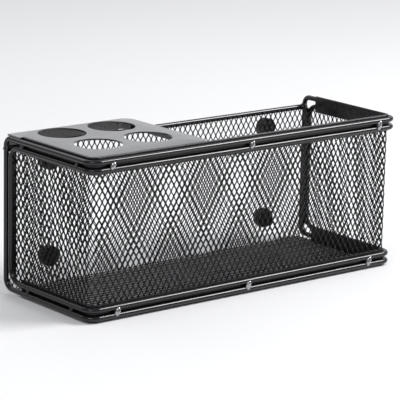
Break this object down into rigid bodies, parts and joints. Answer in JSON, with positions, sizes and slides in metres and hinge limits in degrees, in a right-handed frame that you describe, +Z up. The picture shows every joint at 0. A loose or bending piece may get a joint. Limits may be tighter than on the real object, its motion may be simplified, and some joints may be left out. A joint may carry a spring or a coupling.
{
  "type": "magnetic desk organizer",
  "caption": "Black wire-framed mesh basket with a marker plate over its left third and round magnets on its back; it hangs on a steel board or stands on a desk.",
  "frame": {"origin": "middle of the base, under the centre of the bounding box", "axes": "+X along the length to the user's right, +Y towards the wall behind, +Z up"},
  "size_m": [0.2078, 0.0794, 0.0848],
  "materials": {
    "wire_paint": "glossy black paint",
    "band_paint": "glossy black paint",
    "mesh_paint": "semi-gloss black paint",
    "plate_paint": "glossy black paint",
    "magnet_black": "matte black ferrite",
    "disc_paint": "satin black paint",
    "tie_paint": "glossy black paint"
  },
  "bodies": {
    "root": {"outer_wire_frame": "wire_paint", "inner_wire_frame": "wire_paint", "back_top_rod": "wire_paint", "top_rim_band": "band_paint", "bottom_rim_band": "band_paint", "left_back_strip": "band_paint", "right_back_strip": "band_paint", "front_and_side_mesh": "mesh_paint", "back_mesh": "mesh_paint", "bottom_mesh": "mesh_paint", "marker_plate": "plate_paint", "upper_left_magnet": "magnet_black", "upper_right_magnet": "magnet_black", "lower_left_magnet": "magnet_black", "lower_right_magnet": "magnet_black", "magnet_discs": "disc_paint", "front_top_ties": "tie_paint", "front_bottom_ties": "tie_paint", "left_top_ties": "tie_paint", "left_bottom_ties": "tie_paint", "right_top_ties": "tie_paint", "right_bottom_ties": "tie_paint"}
  },
  "joints": []
}
